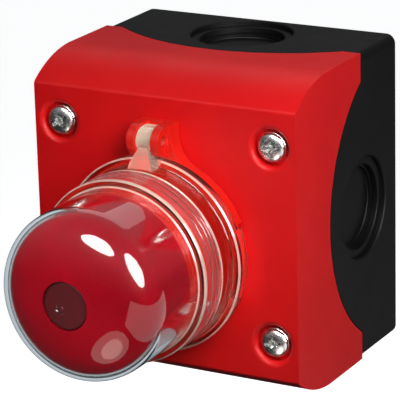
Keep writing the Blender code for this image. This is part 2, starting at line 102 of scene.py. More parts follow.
HALF_WIDTH = BASE.right
HALF_HEIGHT = BASE.top
DEPTH = COVER.front
AXIS_Z = HEAD.z
GAP = 0.3
BASE_WALL = 3.0
COVER_WALL = 2.5
EDGE_RADIUS = 2.4
FLARE_RADIUS = 30.0
FLARE_START = DEPTH - 18.0
TAB_HEIGHT = 20.0
TOP_BULGE_RADIUS = 49.5
TOP_BULGE_CENTRE = -18.5
TOP_BULGE_START = 36.3
SIDE_BULGE_RADIUS = 39.0
SIDE_BULGE_CENTRE = -1.3
SIDE_BULGE_START = 32.3
GASKET_THICKNESS = 1.2
SCREW_HEAD_RADIUS = SCREWS[1].radius
SCREW_RADIUS = 1.8
POCKET_FLOOR = DEPTH - 2.5
POST_TOP = 36.3
POST_RADIUS = 4.2
FIXING_X = 20.0
FIXING_Z = 30.5
FIXING_RADIUS = 2.4
ENTRY_RADIUS = 10.25
ENTRY_LIP_RADIUS = 13.0
ENTRY_DEPTH = 4.0
SIDE_ENTRY_HEIGHT = 19.0
SIDE_PAD_RADIUS = 14.5
TOP_ENTRY_HEIGHT = 14.0
TOP_PAD_RADIUS = 13.4
TUBE_RADIUS = 11.0
NOTCH_ANGLE = 23.0
NOTCH_RADIUS = 22.2
BRACKET_RADIUS = BRACKET.radius
NECK_HALF_WIDTH = 5.0
NECK_FILLET_Z = 25.5
EAR_GAP = 2.2
EAR_OUTER = 4.3
LUG_HALF_WIDTH = 1.9
EAR_RADIUS = 3.8
PIN_HEIGHT = (PIN.back + PIN.front) / 2
HEAD_RIM = 93.0
CROWN_FULLNESS = 2.35
BRACKET_FRONT = 60.4
CAP_MOUTH = 60.7
CAP_WALL = 1.2
FLANGE_RADIUS = 24.6
FLANGE_FRONT = 63.6
SKIRT_RADIUS = 22.85
SKIRT_WALL = 1.5
BAND_FOOT = 69.2
BAND_TOP = 75.9
RIDGE_HEIGHTS = (73.6, 71.6, 70.2, 69.4)
RIDGE_DEPTH = 0.12
SHOULDER = 77.5
DOME_RADIUS = 21.1
HOOK_RADIUS = 3.3
HOOK_SLOT_RADIUS = 1.3
WEB_FOOT_Z = PIN.z - 6.6
LUG_LOW_Z = PIN.z - 5.6
BELL_ROOF = 91.5
BOSS_RADIUS = 8.3
BOSS_BACK = 82.0
COLLAR_FRONT = 76.0
COLLAR_RADIUS = 12.8
COLLAR_BORE = 8.6


# ---------------------------------------------------------------- shapes

scratch = bpy.data.collections.new("scratch")
bpy.context.scene.collection.children.link(scratch)
shown = bpy.data.collections.new("looks")
bpy.context.scene.collection.children.link(shown)


def place(name, data):
    """Adds a helper object that is not rendered and is removed at the end."""
    obj = bpy.data.objects.new(name, data)
    scratch.objects.link(obj)
    obj.hide_render = True
    return obj


def block(name, x_span, height_span, z_span):
    """A box between two values of x, height and z."""
    low = Vector((x_span[0], -height_span[1], z_span[0]))
    high = Vector((x_span[1], -height_span[0], z_span[1]))
    matrix = Matrix.Translation((low + high) / 2 * MM) @ Matrix.Diagonal((*((high - low) * MM), 1.0))
    shape = bmesh.new()
    bmesh.ops.create_cube(shape, size=1.0, matrix=matrix)
    mesh = bpy.data.meshes.new(name)
    shape.to_mesh(mesh)
    shape.free()
    return place(name, mesh)


def turned(name, profile, origin=None, direction=(0, -1, 0), steps=96):
    """Turns (radius, height) points about a line. A profile that starts off the line makes a ring."""
    origin = origin or (0, 0, AXIS_Z)
    count = len(profile)
    edges = [(i, i + 1) for i in range(count - 1)]
    if profile[0][0] > 0:
        edges.append((count - 1, 0))
    mesh = bpy.data.meshes.new(name)
    mesh.from_pydata([(r * MM, 0, h * MM) for r, h in profile], edges, [])
    obj = place(name, mesh)
    x, height, z = origin
    obj.location = Vector((x, -height, z)) * MM
    obj.rotation_euler = Vector((0, 0, 1)).rotation_difference(Vector(direction)).to_euler()
    screw = obj.modifiers.new("Turn", "SCREW")
    screw.axis = "Z"
    screw.steps = steps
    screw.render_steps = steps
    screw.use_merge_vertices = True
    screw.merge_threshold = 0.000005
    return obj


def rod(name, radius, low, high, origin=None, direction=(0, -1, 0), steps=64):
    """A cylinder from one distance along its direction to another."""
    profile = [(0, high), (radius, high), (radius, low), (0, low)]
    return turned(name, profile, origin, direction, steps)


FACING = {
    "front": Matrix(((1, 0, 0, 0), (0, 0, -1, 0), (0, 1, 0, 0), (0, 0, 0, 1))),
    "side": Matrix(((0, 0, 1, 0), (0, -1, 0, 0), (1, 0, 0, 0), (0, 0, 0, 1))),
}


def plate(name, outline, low, high, facing="front"):
    """A flat outline with thickness.

    "front" draws (x, z) between two heights, and "side" draws (z, height) between two values of x.
    """
    curve = bpy.data.curves.new(name, "CURVE")
    curve.dimensions = "2D"
    curve.fill_mode = "BOTH"
    curve.extrude = (high - low) / 2 * MM
    spline = curve.splines.new("POLY")
    spline.points.add(len(outline) - 1)
    for point, (u, v) in zip(spline.points, outline):
        point.co = (u * MM, v * MM, 0, 1)
    spline.use_cyclic_u = True
    guide = place(name, curve)
    guide.matrix_world = FACING[facing] @ Matrix.Translation((0, 0, (low + high) / 2 * MM))
    return baked(guide)


def baked(obj):
    """Replaces an object by a welded plain mesh of what its modifiers or curve make."""
    bpy.context.view_layer.update()
    graph = bpy.context.evaluated_depsgraph_get()
    mesh = bpy.data.meshes.new_from_object(obj.evaluated_get(graph))
    shape = bmesh.new()
    shape.from_mesh(mesh)
    bmesh.ops.remove_doubles(shape, verts=shape.verts, dist=0.000001)
    bmesh.ops.dissolve_degenerate(shape, edges=shape.edges, dist=0.000001)
    bmesh.ops.recalc_face_normals(shape, faces=shape.faces)
    shape.to_mesh(mesh)
    shape.free()
    name, world = obj.name, obj.matrix_world.copy()
    bpy.data.objects.remove(obj)
    new = place(name, mesh)
    new.matrix_world = world
    return new


def boolean(obj, other, operation):
    modifier = obj.modifiers.new(other.name, "BOOLEAN")
    modifier.operation = operation
    modifier.solver = "EXACT"
    modifier.object = other
    return obj


def cut(obj, *others):
    for other in others:
        boolean(obj, other, "DIFFERENCE")
    return obj


def join(obj, *others):
    for other in others:
        boolean(obj, other, "UNION")
    return obj


def keep_inside(obj, other):
    return boolean(obj, other, "INTERSECT")


def soften(obj, width, segments=2, angle=40):
    bevel = obj.modifiers.new("Soften", "BEVEL")
    bevel.width = width * MM
    bevel.segments = segments
    bevel.limit_method = "ANGLE"
    bevel.angle_limit = math.radians(angle)
    return obj


def arc(u, v, radius, start, end, count):
    angles = [math.radians(start + (end - start) * i / count) for i in range(count + 1)]
    return [(u + radius * math.cos(a), v + radius * math.sin(a)) for a in angles]


def mirrored(half):
    """Closes a right-hand half outline, drawn bottom to top, with its mirror image."""
    return half + [(-u, v) for u, v in reversed(half)]


def rounded_rectangle(half_u, half_v, radius, count=10):
    right = arc(half_u - radius, radius - half_v, radius, -90, 0, count)
    right += arc(half_u - radius, half_v - radius, radius, 0, 90, count)
    return mirrored(right)


def rounded(points, radii, count=4):
    """Rounds the corners of an open line of points: radii maps a point's number to a radius."""
    line = []
    for i, point in enumerate(points):
        radius = radii.get(i)
        if not radius:
            line.append(point)
            continue
        here = Vector(point)
        before = (Vector(points[i - 1]) - here).normalized()
        after = (Vector(points[i + 1]) - here).normalized()
        half = before.angle(after) / 2
        reach = radius / math.tan(half)
        start, end = here + before * reach, here + after * reach
        centre = here + (before + after).normalized() * radius / math.sin(half)
        for k in range(count + 1):
            spoke = (start - centre).lerp(end - centre, k / count).normalized() * radius
            line.append(tuple(centre + spoke))
    return line


def crown(radius, rim, rise, start_radius=0.0, count=40):
    """Points of a domed front, a superellipse, from start_radius out to its rim."""
    power = 2 / CROWN_FULLNESS
    first = math.acos((start_radius / radius) ** (1 / power))
    angles = [first * (1 - i / count) for i in range(count + 1)]
    return [(radius * math.cos(a) ** power, rim + rise * math.sin(a) ** power) for a in angles]


def show(obj, body, material, slot, *nodes, sharp=32):
    """Bakes and shades a piece, and lets it ride on a body and stand for its CAD nodes."""
    obj = baked(obj)
    scratch.objects.unlink(obj)
    shown.objects.link(obj)
    obj.hide_render = False
    obj.data.materials.clear()
    obj.data.materials.append(material)
    obj.data.shade_smooth()
    obj.data.set_sharp_from_angle(angle=math.radians(sharp))
    even = obj.modifiers.new("even", "WEIGHTED_NORMAL")
    even.keep_sharp = True
    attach(obj, body)
    if nodes:
        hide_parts(*nodes)
    return obj


# ---------------------------------------------------------------- materials


def node(tree, kind, inputs=None, **settings):
    """Adds a shader node. An input is a value, or the socket that it is linked to."""
    new = tree.nodes.new(kind)
    for name, value in settings.items():
        setattr(new, name, value)
    for name, value in (inputs or {}).items():
        if isinstance(value, bpy.types.NodeSocket):
            tree.links.new(value, new.inputs[name])
        else:
            new.inputs[name].default_value = value
    return new


def start_material(name, **sockets):
    """A material with constant sockets set, and the object coordinates that its patterns use."""
    material = bpy.data.materials.new(name)
    material.use_nodes = True
    tree = material.node_tree
    shader = tree.nodes["Principled BSDF"]
    for socket, value in sockets.items():
        shader.inputs[socket.replace("_", " ")].default_value = value
    spot = node(tree, "ShaderNodeTexCoord").outputs["Object"]
    return material, tree, shader, spot


def noise(tree, vector, scale, detail=2.0, roughness=0.5):
    inputs = {"Vector": vector, "Scale": scale, "Detail": detail, "Roughness": roughness}
    return node(tree, "ShaderNodeTexNoise", inputs).outputs["Fac"]


def spread(tree, value, low, high):
    """Maps a noise value to the range low to high."""
    inputs = {"Value": value, "From Min": 0.3, "From Max": 0.7, "To Min": low, "To Max": high}
    return node(tree, "ShaderNodeMapRange", inputs).outputs["Result"]


def blend_colours(tree, factor, first, second):
    mix = node(tree, "ShaderNodeMix", data_type="RGBA")
    tree.links.new(factor, mix.inputs[0])
    mix.inputs[6].default_value = (*first, 1.0)
    mix.inputs[7].default_value = (*second, 1.0)
    return mix.outputs[2]


def bump(tree, height, strength, distance):
    inputs = {"Height": height, "Strength": strength, "Distance": distance * MM}
    return node(tree, "ShaderNodeBump", inputs).outputs["Normal"]


def moulded(name, dark, light, roughness, grain=0.25, specular=0.5):
    """Moulded plastic: slow tone changes, a fine eroded grain, and small changes of gloss."""
    material, tree, shader, spot = start_material(name, Specular_IOR_Level=specular)
    tone = spread(tree, noise(tree, spot, 45.0), 0.0, 1.0)
    tree.links.new(blend_colours(tree, tone, dark, light), shader.inputs["Base Color"])
    gloss = spread(tree, noise(tree, spot, 160.0, 4.0), roughness - 0.04, roughness + 0.05)
    tree.links.new(gloss, shader.inputs["Roughness"])
    texture = noise(tree, spot, 2600.0, 3.0, 0.6)
    tree.links.new(bump(tree, texture, grain, 0.02), shader.inputs["Normal"])
    return material


def metal(name, dark, light, roughness, scale=400.0, stretch=(1, 1, 1)):
    """Plated or drawn metal: cloudy tone, and fine marks drawn out along one direction."""
    material, tree, shader, spot = start_material(name, Metallic=1.0)
    tone = spread(tree, noise(tree, spot, 300.0, 3.0), 0.0, 1.0)
    tree.links.new(blend_colours(tree, tone, dark, light), shader.inputs["Base Color"])
    drawn = node(tree, "ShaderNodeMapping", {"Vector": spot, "Scale": stretch}).outputs["Vector"]
    marks = noise(tree, drawn, scale, 4.0, 0.7)
    tree.links.new(spread(tree, marks, roughness - 0.08, roughness + 0.1), shader.inputs["Roughness"])
    tree.links.new(bump(tree, marks, 0.12, 0.01), shader.inputs["Normal"])
    return material


def rubber(name):
    material, tree, shader, spot = start_material(name, Specular_IOR_Level=0.3)
    tone = spread(tree, noise(tree, spot, 500.0, 4.0), 0.0, 1.0)
    colour = blend_colours(tree, tone, (0.012, 0.012, 0.012), (0.03, 0.03, 0.03))
    tree.links.new(colour, shader.inputs["Base Color"])
    tree.links.new(spread(tree, noise(tree, spot, 900.0), 0.7, 0.9), shader.inputs["Roughness"])
    return material


def clear(name, colour, roughness, transmission=1.0):
    """Clear moulded plastic with faint flow marks. Its shadow is only a tint, so lamps shine through."""
    material, tree, shader, spot = start_material(name, IOR=1.49, Transmission_Weight=transmission)
    tone = spread(tree, noise(tree, spot, 60.0), 0.0, 1.0)
    darker = tuple(0.985 * c for c in colour)
    tree.links.new(blend_colours(tree, tone, colour, darker), shader.inputs["Base Color"])
    haze = spread(tree, noise(tree, spot, 200.0, 3.0), roughness, roughness + 0.02)
    tree.links.new(haze, shader.inputs["Roughness"])
    flow = noise(tree, spot, 70.0, 1.0)
    tree.links.new(bump(tree, flow, 0.06, 0.15), shader.inputs["Normal"])
    output = tree.nodes["Material Output"]
    through = node(tree, "ShaderNodeBsdfTransparent", {"Color": (*colour, 1.0)})
    rays = node(tree, "ShaderNodeLightPath")
    mix = node(tree, "ShaderNodeMixShader")
    tree.links.new(rays.outputs["Is Shadow Ray"], mix.inputs[0])
    tree.links.new(shader.outputs[0], mix.inputs[1])
    tree.links.new(through.outputs[0], mix.inputs[2])
    tree.links.new(mix.outputs[0], output.inputs["Surface"])
    return material


cover_red = moulded("cover_red", (0.68, 0.005, 0.009), (0.75, 0.008, 0.010), 0.40, specular=0.12)
bracket_red = moulded(
    "bracket_red", (0.64, 0.010, 0.007), (0.72, 0.016, 0.009), 0.32, grain=0.12, specular=0.25
)
# The head's own red, made darker: painted shade for the light that the clear cap in front of it holds back.
head_red_and_shade = moulded(
    "head_red_and_shade", (0.24, 0.0005, 0.006), (0.29, 0.001, 0.008), 0.16, grain=0.05, specular=0.12
)
insert_red = moulded(
    "insert_red", (0.06, 0.002, 0.004), (0.08, 0.003, 0.005), 0.38, grain=0.1, specular=0.25
)
shell_black = moulded(
    "shell_black", (0.003, 0.003, 0.004), (0.005, 0.005, 0.006), 0.5, grain=0.35, specular=0.1
)
inner_black = moulded("inner_black", (0.014, 0.014, 0.016), (0.022, 0.022, 0.025), 0.45, grain=0.15)
housing_grey = moulded("housing_grey", (0.26, 0.27, 0.28), (0.33, 0.34, 0.35), 0.5)
seal_rubber = rubber("seal_rubber")
clear_cap = clear("clear_cap", (0.985, 0.99, 0.98), 0.0)
# Frosted band: its roughness is real, and its pink tint is a painted sheen, the veil of scattered light over
# the red behind it.
clear_band_pink_sheen = clear("clear_band_pink_sheen", (0.80, 0.60, 0.66), 0.12, 0.9)
# Pale, half cloudy finish on thick edges of the cap: painted highlight lines that stand in for light bent and
# trapped in the clear plastic.
clear_edge_highlight = clear("clear_edge_highlight", (0.97, 0.93, 0.87), 0.12, 0.45)
# The hook's cream, partly cloudy finish: a fainter painted highlight of the same kind, for its refraction
# lines.
clear_lug_highlight = clear("clear_lug_highlight", (0.93, 0.88, 0.78), 0.06, 0.72)
# Brown-dark finish on the cap's steps, flange face and skirt foot: painted shade, the dim refracted interior
# and the shade of thick clear plastic. The plastic itself is clear.
clear_painted_shade = clear("clear_painted_shade", (0.33, 0.19, 0.10), 0.04)
screw_zinc = metal("screw_zinc", (0.52, 0.53, 0.52), (0.78, 0.79, 0.77), 0.24)
spring_steel = metal("spring_steel", (0.42, 0.43, 0.45), (0.60, 0.61, 0.63), 0.30, 800.0, (1, 0.2, 1))
contact_brass = metal("contact_brass", (0.62, 0.44, 0.17), (0.80, 0.60, 0.27), 0.28, 700.0, (1, 1, 0.2))


# ---------------------------------------------------------------- enclosure


def joint_solid(name, forward):
    """Everything behind the curved joint, moved forward by some distance."""
    solid = block(name, (-60, 60), (-80, TAB_HEIGHT + forward), (-60, 60))
    for side in SIDES:
        top = (0, TOP_BULGE_CENTRE, 0)
        radius = TOP_BULGE_RADIUS + forward
        join(solid, rod(f"{name}_top_{side}", radius, TOP_BULGE_START, 50, top, (0, 0, side), 200))
        middle = (0, SIDE_BULGE_CENTRE, 0)
        radius = SIDE_BULGE_RADIUS + forward
        join(solid, rod(f"{name}_side_{side}", radius, SIDE_BULGE_START, 50, middle, (side, 0, 0), 180))
    return solid


def entry_profile(face):
    """The stepped recess of a closed knock-out, with a groove round its lip and rings on its wall."""
    lip, wall = ENTRY_LIP_RADIUS, ENTRY_RADIUS
    steps = [(0, face + 2), (lip + 0.3, face + 2), (lip + 0.3, face + 0.01), (lip, face - 0.3)]
    steps += [(lip, face - 1.3), (wall + 0.9, face - 1.3), (wall + 0.75, face - 1.15)]
    steps += [(wall + 0.65, face - 1.15), (wall + 0.5, face - 1.3), (wall + 0.5, face - 2.5)]
    steps += [(wall + 0.7, face - 2.65), (wall + 0.7, face - 2.8), (wall, face - 2.95)]
    steps += [(wall, face - 3.5), (wall + 0.2, face - 3.6)]
    return steps + [(wall, face - ENTRY_DEPTH + 0.1), (0, face - ENTRY_DEPTH)]


def make_base():
    """The black box behind the curved joint: screw posts, wall-fixing holes and four closed entries."""
    base = plate("base", rounded_rectangle(HALF_WIDTH, HALF_HEIGHT, EDGE_RADIUS), 0, 45)
    soften(base, 0.5, 2, 60)
    keep_inside(base, joint_solid("base_joint", 0))
    inner_x = HALF_WIDTH - BASE_WALL
    inner_z = HALF_HEIGHT - BASE_WALL
    cut(base, block("base_room", (-inner_x, inner_x), (BASE_WALL, 60), (-inner_z, inner_z)))
    for n, screw in SCREWS.items():
        post = (screw.x, 0, screw.z)
        join(base, rod(f"post_{n}", POST_RADIUS, 2.0, POST_TOP, post, steps=48))
        cut(base, rod(f"pilot_{n}", SCREW_RADIUS + 0.3, 22, 40, post, steps=24))
        fixing = (math.copysign(FIXING_X, screw.x), 0, math.copysign(FIXING_Z, screw.z))
        wide = FIXING_RADIUS + 2.0
        hole = [(0, -1), (FIXING_RADIUS, -1), (FIXING_RADIUS, 1.4), (wide, 3.4), (wide, 8), (0, 8)]
        cut(base, turned(f"fixing_{n}", hole, fixing, steps=32))
    for side in SIDES:
        sideways = (0, SIDE_ENTRY_HEIGHT, 0), (side, 0, 0), HALF_WIDTH, SIDE_PAD_RADIUS
        upright = (0, TOP_ENTRY_HEIGHT, 0), (0, 0, side), HALF_HEIGHT, TOP_PAD_RADIUS
        for origin, direction, face, pad in (sideways, upright):
            name = f"{origin[1]:.0f}_{side}"
            join(base, rod(f"pad_{name}", pad, face - 5.2, face - 1.5, origin, direction, 64))
            cut(base, turned(f"entry_{name}", entry_profile(face), origin, direction, 128))
    return show(base, "enclosure", shell_black, "black_plastic", "base_shell")


def cover_outline(inset, back, crease=1.2):
    """Side view of the cover as (z, height), from well behind the joint to the front."""
    top = HALF_HEIGHT - inset
    front = DEPTH - inset
    centre = HALF_HEIGHT - FLARE_RADIUS
    radius = FLARE_RADIUS - inset
    end = math.degrees(math.asin((front - FLARE_START) / radius))
    flare = arc(centre, FLARE_START, radius, 0, end, 40)
    corner = flare[-1]
    line = rounded([flare[-5], corner, (0, front)], {1: crease})[1:-1]
    return mirrored([(top, back)] + flare[:-5] + [flare[-5]] + line)


def pocket_profile():
    """A screw pocket with a soft rounded mouth."""
    radius, rounding = 4.6, 1.5
    rim = radius + rounding
    mouth = arc(rim, DEPTH - rounding, rounding, 90, 180, 8)
    return [(0, DEPTH + 2), (rim, DEPTH + 2)] + mouth + [(radius, POCKET_FLOOR), (0, POCKET_FLOOR)]


def make_cover():
    """The red cover: a flared front, screw pockets and bosses, and a rebate for the gasket."""
    cover = plate("cover", cover_outline(0, 8), -HALF_WIDTH, HALF_WIDTH, "side")
    soften(cover, EDGE_RADIUS, 8, 60)
    inner_x = HALF_WIDTH - COVER_WALL
    cut(cover, plate("cover_room", cover_outline(COVER_WALL, 2), -inner_x, inner_x, "side"))
    for n, screw in SCREWS.items():
        origin = (screw.x, 0, screw.z)
        join(cover, rod(f"boss_{n}", 5.0, POST_TOP + GAP, 54.5, origin, steps=48))
        cut(cover, turned(f"pocket_{n}", pocket_profile(), origin, steps=72))
        cut(cover, rod(f"clearance_{n}", SCREW_RADIUS + 0.5, 30, 57, origin, steps=32))
    cut(cover, rod("actuator_hole", TUBE_RADIUS + GAP, 45, 60))
    cut(cover, joint_solid("cover_joint", GAP))
    half_x, half_z = HALF_WIDTH - 1, HALF_HEIGHT - 1
    rebate = plate("rebate", rounded_rectangle(half_x, half_z, EDGE_RADIUS), 5, 50)
    keep_inside(rebate, joint_solid("rebate_joint", 2 * GAP + GASKET_THICKNESS))
    cut(cover, baked(rebate))
    return show(cover, "enclosure", cover_red, "red_plastic", "cover_shell")


def make_screw(number):
    """A domed screw with a cross recess, a finer cross between its wings, and a thread."""
    spot = SCREWS[number]
    back = POCKET_FLOOR + GAP
    radius = SCREW_HEAD_RADIUS
    dome = crown(radius - 0.15, back + 1.0, spot.front - back - 1.0, count=10)
    rim = [(radius, back + 0.85), (radius, back + 0.2), (radius - 0.2, back)]
    pitch = 0.8
    thread = []
    for turn in range(32):
        top = POCKET_FLOOR - 3.5 - turn * pitch
        thread += [(SCREW_RADIUS, top), (SCREW_RADIUS - 0.3, top - pitch / 2)]
    shank = [(SCREW_RADIUS - 0.1, back), (SCREW_RADIUS - 0.1, POCKET_FLOOR - 3.2)] + thread
    tip = [(0, spot.back)]
    origin = (spot.x, 0, spot.z)
    screw = turned(f"screw_{number}", dome + rim + shank + tip, origin, steps=64)
    twist = math.radians(20 + 37 * number)
    for wing, (length, width, floor) in enumerate(((2.35, 0.42, 54.5), (1.25, 0.2, 55.2))):
        for quarter in range(2):
            name = f"recess_{number}_{wing}_{quarter}"
            arm = block(name, (-length, length), (floor, 60), (-width, width))
            angle = twist + quarter * math.pi / 2 + wing * math.pi / 4
            middle = Matrix.Translation(Vector(origin) * MM)
            arm.matrix_world = middle @ Matrix.Rotation(angle, 4, "Y")
            cut(screw, arm)
    cone = [(0, 60), (1.55, 60), (1.15, spot.front - 0.2), (0.3, 53.9), (0, 53.9)]
    cut(screw, turned(f"cone_{number}", cone, origin, steps=32))
    return show(screw, "enclosure", screw_zinc, "zinc", f"cover_screw_{number}")


# ---------------------------------------------------------------- guard bracket


def bracket_outline():
    """A ring with a notch at each side, and a neck for the ears at the top."""
    ring = (0, AXIS_Z)
    rise = NECK_FILLET_Z - AXIS_Z
    spare = BRACKET_RADIUS - NECK_HALF_WIDTH
    fillet = (rise**2 + NECK_HALF_WIDTH**2 - BRACKET_RADIUS**2) / (2 * spare)
    meet = math.degrees(math.atan2(rise, NECK_HALF_WIDTH + fillet))
    right = arc(*ring, BRACKET_RADIUS, -90, -NOTCH_ANGLE, 40)
    right += arc(*ring, NOTCH_RADIUS, -NOTCH_ANGLE, NOTCH_ANGLE, 24)
    right += arc(*ring, BRACKET_RADIUS, NOTCH_ANGLE, meet, 24)
    right += arc(NECK_HALF_WIDTH + fillet, NECK_FILLET_Z, fillet, meet + 180, 180, 16)[1:]
    return mirrored(right[1:] + [(NECK_HALF_WIDTH, BRACKET.top)])


def ear_outline(inset=0.0):
    """Side view of an ear as (z, height): a round front on a straight root."""
    radius = EAR_RADIUS - inset
    front = arc(PIN.z, PIN_HEIGHT, radius, 0, 180, 28)
    root = 58 if not inset else BRACKET_FRONT + 0.5
    return front + [(PIN.z - radius, root), (PIN.z + radius - 0.1, root)]


def make_bracket():
    """The red ring with two ears, and a bed between them for the hook."""
    bracket = plate("bracket", bracket_outline(), BRACKET.back, BRACKET_FRONT)
    soften(bracket, 0.35, 3, 60)
    bed_z = (PIN.z - EAR_RADIUS - 0.2, BRACKET.top + 2)
    cut(bracket, block("lug_bed", (-EAR_GAP, EAR_GAP), (58.2, 70), bed_z))
    for side in SIDES:
        low, high = sorted((side * EAR_GAP, side * EAR_OUTER))
        ear = plate(f"ear_{side}", ear_outline(), low, high, "side")
        soften(ear, 0.4, 3, 60)
        face = sorted((side * (EAR_OUTER - 0.45), side * (EAR_OUTER + 1)))
        cut(ear, plate(f"ear_face_{side}", ear_outline(0.75), *face, "side"))
        join(bracket, baked(ear))
    cut(bracket, rod("ear_hole", 1.3, -9, 9, (0, PIN_HEIGHT, PIN.z), (1, 0, 0), 32))
    cut(bracket, rod("bracket_bore", TUBE_RADIUS + GAP, 50, 70))
    cut(bracket, rod("seal_seat", 16.3, 50, 58))
    return show(bracket, "enclosure", bracket_red, "red_plastic", "guard_bracket")


# ---------------------------------------------------------------- guard cap

CAP_MATERIALS = (clear_cap, clear_band_pink_sheen, clear_edge_highlight, clear_painted_shade, clear_lug_highlight)
PLAIN, BAND, EDGE, PAINTED_SHADE, LUG = range(len(CAP_MATERIALS))


def cap_profile():
    """Outer side from the pole to the mouth, then the inner side back to the pole."""
    rise = CAP.front - HEAD_RIM
    pip = [(0, CAP.front - 0.02), (0.25, CAP.front - 0.06), (0.45, CAP.front - 0.3)]
    gate = pip + [(1.25, CAP.front - 0.3), (1.45, CAP.front - 0.06)]
    outer = gate + crown(DOME_RADIUS, HEAD_RIM, rise, 1.6)
    outer += [(DOME_RADIUS, HEAD_RIM - 8), (DOME_RADIUS, SHOULDER + 0.35), (DOME_RADIUS + 0.3, SHOULDER)]
    outer += [(SKIRT_RADIUS - 0.35, SHOULDER - 0.2), (SKIRT_RADIUS, SHOULDER - 0.55)]
    outer += [(SKIRT_RADIUS, SHOULDER - 1.1), (SKIRT_RADIUS, BAND_TOP)]
    valley = SKIRT_RADIUS - RIDGE_DEPTH
    outer.append((valley, BAND_TOP - 0.1))
    for ridge in RIDGE_HEIGHTS:
        outer += [(valley, ridge + 0.2), (SKIRT_RADIUS, ridge), (valley, ridge - 0.2)]
    foot = [outer[-1], (SKIRT_RADIUS, BAND_FOOT - 0.1), (SKIRT_RADIUS - 0.05, BAND_FOOT - 0.6)]
    foot += [(SKIRT_RADIUS, FLANGE_FRONT + 0.05), (FLANGE_RADIUS - 0.4, FLANGE_FRONT)]
    foot.append((FLANGE_RADIUS, FLANGE_FRONT - 0.4))
    outer += rounded(foot, {3: 0.5}, 5)[1:]
    outer += [(FLANGE_RADIUS, CAP_MOUTH + 0.4), (FLANGE_RADIUS - 0.3, CAP_MOUTH)]
    bore = DOME_RADIUS - CAP_WALL
    skirt_bore = SKIRT_RADIUS - SKIRT_WALL
    inner = [(skirt_bore, CAP_MOUTH), (skirt_bore, SHOULDER - 1.5)]
    inner += [(bore, SHOULDER - 0.3), (bore, HEAD_RIM)]
    inner = rounded(inner, {1: 0.4, 2: 0.4})[:-1]
    inner += reversed(crown(bore, HEAD_RIM, rise - CAP_WALL))
    return outer + inner


def hook_outline():
    """Side view of the hook as (z, height). It passes in front of the pin and is open to the wall."""
    front = arc(PIN.z, PIN_HEIGHT, HOOK_RADIUS, 0, 180, 28)
    slot = arc(PIN.z, PIN_HEIGHT, HOOK_SLOT_RADIUS, 180, 0, 18)
    lower_end = [(PIN.z - HOOK_RADIUS, 59.0), (PIN.z - HOOK_SLOT_RADIUS, 59.0)]
    upper_end = [(PIN.z + HOOK_SLOT_RADIUS, 59.8), (PIN.z + HOOK_RADIUS, 59.8)]
    return front + lower_end + slot + upper_end


def cap_finish(radius, height):
    """The material index of a face of the cap, from its place on the turned shape."""
    crest = SKIRT_RADIUS + 0.1
    deep = SKIRT_RADIUS - 0.3
    rim = FLANGE_RADIUS + 0.1
    # The pale edge finish paints highlight lines, the brown finish paints shade, and the band's pink is a
    # painted sheen.
    zones = [
        (SHOULDER - 0.05, SHOULDER + 0.6, DOME_RADIUS - 0.1, DOME_RADIUS + 0.5, EDGE),
        (SHOULDER - 0.3, SHOULDER, DOME_RADIUS + 0.3, SKIRT_RADIUS - 0.35, PAINTED_SHADE),
        (SHOULDER - 1.0, SHOULDER - 0.2, SKIRT_RADIUS - 0.55, crest, EDGE),
        (BAND_FOOT, BAND_TOP, deep, crest, BAND),
        (BAND_FOOT - 0.65, BAND_FOOT, deep, crest, EDGE),
        (FLANGE_FRONT, BAND_FOOT - 0.65, deep, crest, PAINTED_SHADE),
        (FLANGE_FRONT, FLANGE_FRONT + 0.7, SKIRT_RADIUS - 0.1, FLANGE_RADIUS - 0.4, PAINTED_SHADE),
        (FLANGE_FRONT - 0.4, FLANGE_FRONT, FLANGE_RADIUS - 0.4, rim, EDGE),
        (CAP_MOUTH, CAP_MOUTH + 0.5, FLANGE_RADIUS - 0.45, rim, EDGE),
    ]
    for low, high, inner, outer, index in zones:
        if low < height < high and inner < radius < outer:
            return index
    return PLAIN


def make_web():
    """The tapered arm that carries the hook."""
    profile = [(WEB_FOOT_Z, CAP_MOUTH + 0.3), (PIN.z - 1.6, CAP_MOUTH + 0.3), (PIN.z - 0.4, 64.6)]
    profile += [(PIN.z - 2.2, 66.0), (WEB_FOOT_Z, 67.4)]
    web = plate("web", profile, -6, 6, "side")
    flank = [(3.4, WEB_FOOT_Z), (2.9, PIN.z - 4.6), (1.1, PIN.z - 1.2), (1.0, PIN.z)]
    return baked(keep_inside(web, plate("web_flanks", mirrored(flank), 50, 70)))


def make_cap():
    """The clear cap with its hook and two side tabs. Where a face lies decides its finish: painted highlight
    lines, a painted pink sheen and painted shade.
    """
    cap = turned("clear_cap", cap_profile(), steps=160)
    hook = plate("hook", hook_outline(), -LUG_HALF_WIDTH, LUG_HALF_WIDTH, "side")
    soften(hook, 0.45, 3, 60)
    join(cap, make_web(), baked(hook))
    half = NOTCH_ANGLE - 1.5
    for side, middle in ((1, 0), (-1, 180)):
        outer = arc(0, AXIS_Z, FLANGE_RADIUS - 0.4, middle - half, middle + half, 28)
        inner = arc(0, AXIS_Z, NOTCH_RADIUS + GAP, middle + half, middle - half, 28)
        tab = plate(f"tab_{side}", outer + inner, 58.5, 61.5)
        join(cap, baked(soften(tab, 0.45, 2, 60)))
    cap = show(cap, "guard", clear_cap, "clear_plastic", "guard_cap", sharp=28)
    for material in CAP_MATERIALS[1:]:
        cap.data.materials.append(material)
    for face in cap.data.polygons:
        middle = (cap.matrix_world @ face.center) / MM
        radius = math.hypot(middle.x, middle.z - AXIS_Z)
        # The hook's faces get its painted highlight finish.
        on_lug = middle.z > LUG_LOW_Z and abs(middle.x) < 3.5 and radius > SKIRT_RADIUS + 0.3
        face.material_index = LUG if on_lug else cap_finish(radius, -middle.y)
    return cap


# ---------------------------------------------------------------- actuator


